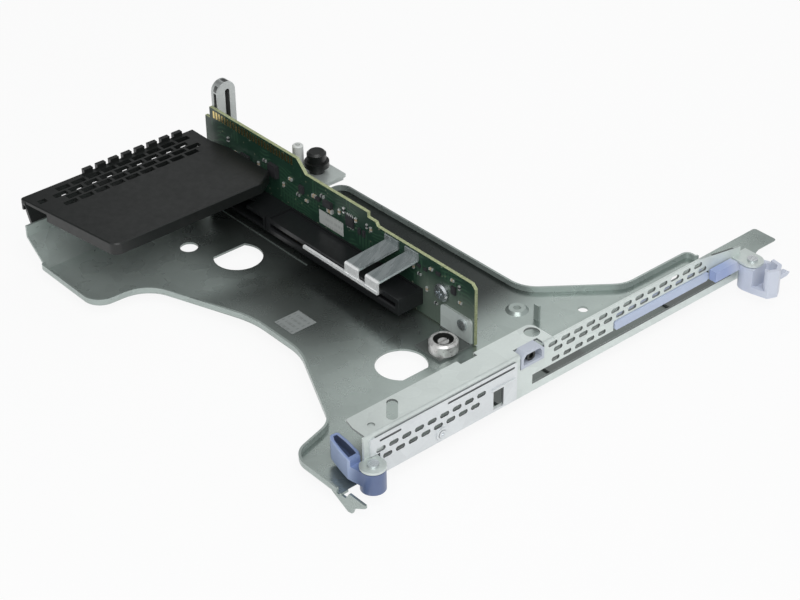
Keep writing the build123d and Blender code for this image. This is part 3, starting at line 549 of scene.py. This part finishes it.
# place along the board, height, size along the board, size upwards, thickness, body
CHIPS = (
    (139.6, 26.4, 2.6, 1.4, 1.0, TAN_BODY),
    (133.9, 28.8, 2.2, 1.3, 0.9, BLACK_BODY),
    (128.6, 23.8, 3.4, 1.7, 1.2, TAN_BODY),
    (122.6, 26.2, 1.1, 2.4, 0.7, TAN_BODY),
    (119.4, 28.4, 1.1, 2.6, 0.8, BLACK_BODY),
    (111.6, 27.0, 1.1, 2.2, 0.7, TAN_BODY),
    (104.4, 27.2, 1.0, 2.0, 0.6, BLACK_BODY),
    (101.8, 26.8, 1.0, 2.0, 0.6, TAN_BODY),
    (145.2, 21.4, 2.0, 1.0, 0.7, TAN_BODY),
    (151.0, 22.0, 2.0, 1.0, 0.7, BLACK_BODY),
    (156.2, 27.6, 2.2, 1.2, 0.8, TAN_BODY),
    (161.4, 22.6, 1.0, 2.0, 0.7, TAN_BODY),
    (174.6, 29.0, 2.0, 1.1, 0.7, BLACK_BODY),
    (179.4, 25.4, 1.1, 2.0, 0.7, TAN_BODY),
    (196.4, 24.0, 2.0, 1.1, 0.7, TAN_BODY),
    (201.6, 28.6, 1.1, 2.2, 0.7, BLACK_BODY),
    (74.6, 21.6, 1.0, 1.9, 0.6, TAN_BODY),
    (70.8, 19.6, 1.9, 1.0, 0.6, BLACK_BODY),
    (66.2, 14.4, 1.0, 2.0, 0.6, TAN_BODY),
    (63.6, 25.4, 2.0, 1.0, 0.7, TAN_BODY),
    (50.6, 26.2, 1.9, 1.0, 0.6, TAN_BODY),
    (46.4, 24.6, 1.0, 1.9, 0.6, BLACK_BODY),
    (45.8, 17.6, 1.9, 1.0, 0.6, TAN_BODY),
    (60.4, 10.2, 1.9, 1.0, 0.6, BLACK_BODY),
)
LEAD_Y, LEAD_PITCH, LEAD_WIDE = 113.5, 1.15, 0.4     # leads of the small package
LEAD_ROWS, LEAD_LONG = (21.5, 27.5), 1.2

small_parts = bmesh.new()
for place_and_size in CHIPS:
    chip(small_parts, *place_and_size)
for i in range(4):
    lead = LEAD_Y + i * LEAD_PITCH
    for row in LEAD_ROWS:
        brick(small_parts, (BOARD_FACE - 0.5, lead, row - LEAD_LONG / 2),
              (BOARD_FACE - 0.05, lead + LEAD_WIDE, row + LEAD_LONG / 2), SOLDER)
add_piece("board_chips", small_parts, (CHIP_BODY, CAPACITOR, SOLDER_ENDS))

# Camera: turned, pitched and rolled as the photograph's, which is 800 x 600
PHOTO_W, PHOTO_H = 800, 600
PHI, ELEV, ROLL = math.radians(40.537), math.radians(33.888), math.radians(-0.659)
FOCUS = 2000.0              # focal length in pixels
DISTANCE = 744.887          # mm along the view from the eye to the corner at the panel's left end
CORNER = (364.566, 483.107)     # pixel on which that corner falls
SENSOR = 36.0

forward = Vector((math.sin(PHI) * math.cos(ELEV), math.cos(PHI) * math.cos(ELEV), -math.sin(ELEV)))
level = Vector((math.cos(PHI), -math.sin(PHI), 0.0))
rise = level.cross(forward)
right = math.cos(ROLL) * level + math.sin(ROLL) * rise
up = -math.sin(ROLL) * level + math.cos(ROLL) * rise
aside = (CORNER[0] - PHOTO_W / 2) / FOCUS * right - (CORNER[1] - PHOTO_H / 2) / FOCUS * up
eye = -DISTANCE * (forward + aside)

camera_data = bpy.data.cameras.new("PhotoCamera")
camera_data.sensor_width = SENSOR
camera_data.lens = FOCUS * SENSOR / PHOTO_W
camera_data.clip_start, camera_data.clip_end = 0.01, 20.0
camera = bpy.data.objects.new("PhotoCamera", camera_data)
bpy.context.scene.collection.objects.link(camera)
camera.matrix_world = Matrix.Translation(at(*eye)) @ Matrix((right, up, -forward)).transposed().to_4x4()
bpy.context.scene.camera = camera
bpy.context.scene.view_settings.view_transform = "Standard"


# Light
def area_lamp(name, place, target, size, power):
    """A soft square lamp that faces its target."""
    data = bpy.data.lights.new(name, "AREA")
    data.shape, data.size, data.energy = "SQUARE", size, power
    lamp = bpy.data.objects.new(name, data)
    bpy.context.scene.collection.objects.link(lamp)
    lamp.location = at(*place)
    lamp.rotation_mode = "QUATERNION"
    lamp.rotation_quaternion = (at(*target) - at(*place)).to_track_quat("-Z", "Y")
    return data


PART_MIDDLE = (90, 100, 10)
area_lamp("KeyTop", (-250, -420, 780), PART_MIDDLE, 0.7, 4.4)
area_lamp("SideFill", (-700, 300, 420), PART_MIDDLE, 0.6, 0.6)
# two low lamps behind the part, which the tray floor reflects to the camera
area_lamp("LeftGlow", (290, 560, 336), (0, 170, 0), 0.17, 0.05)
front_glow = area_lamp("FrontGlow", (425, 300, 350), (425, -75, 20), 0.40, 0.25)
front_glow.shape, front_glow.size_y = "RECTANGLE", 0.17

world = bpy.data.worlds.new("Studio")
world.use_nodes = True
sky = world.node_tree
background = sky.nodes["Background"]
background.inputs[0].default_value = (0.97, 0.99, 1.0, 1.0)
# the room is darker behind the part than above and in front of it
direction = sky.nodes.new("ShaderNodeTexCoord")
parts = sky.nodes.new("ShaderNodeSeparateXYZ")
depth = sky.nodes.new("ShaderNodeMapRange")
for socket, value in enumerate((-0.2, 0.75, 0.62, 0.10), start=1):
    depth.inputs[socket].default_value = value
sky.links.new(direction.outputs["Generated"], parts.inputs[0])
sky.links.new(parts.outputs[1], depth.inputs[0])
sky.links.new(depth.outputs[0], background.inputs[1])
bpy.context.scene.world = world

# Floor: near white where the camera or a reflection sees it, and it still takes the part's shadow
FLOOR_HALF = 6.0            # metres
FLOOR_DROP = 0.0002         # metres below the part
FLOOR_GLOW = 0.9
paint = Look("StudioWhite", (0.86, 0.86, 0.86), 0.9)
glow = paint.node("Emission")
paint.set(glow, "Color", (1, 1, 1, 1))
paint.set(glow, "Strength", 1.0)
ray = paint.node("LightPath").outputs
seen = paint.most(ray["Is Camera Ray"], ray["Is Glossy Ray"], ray["Is Transmission Ray"])
both = paint.node("MixShader")
paint.link(paint.times(seen, FLOOR_GLOW), both.inputs[0])
paint.link(paint.b.outputs[0], both.inputs[1])
paint.link(glow.outputs[0], both.inputs[2])
paint.link(both.outputs[0], paint.nt.nodes["Material Output"].inputs["Surface"])

floor_sheet = bmesh.new()
bmesh.ops.create_grid(floor_sheet, x_segments=1, y_segments=1, size=FLOOR_HALF,
                      matrix=Matrix.Translation((0.0, 0.0, cad_low[2] - FLOOR_DROP)))
floor_mesh = bpy.data.meshes.new("StudioFloor")
floor_sheet.to_mesh(floor_mesh)
floor_sheet.free()
floor_mesh.materials.append(paint.m)
floor = bpy.data.objects.new("StudioFloor", floor_mesh)
bpy.context.scene.collection.objects.link(floor)
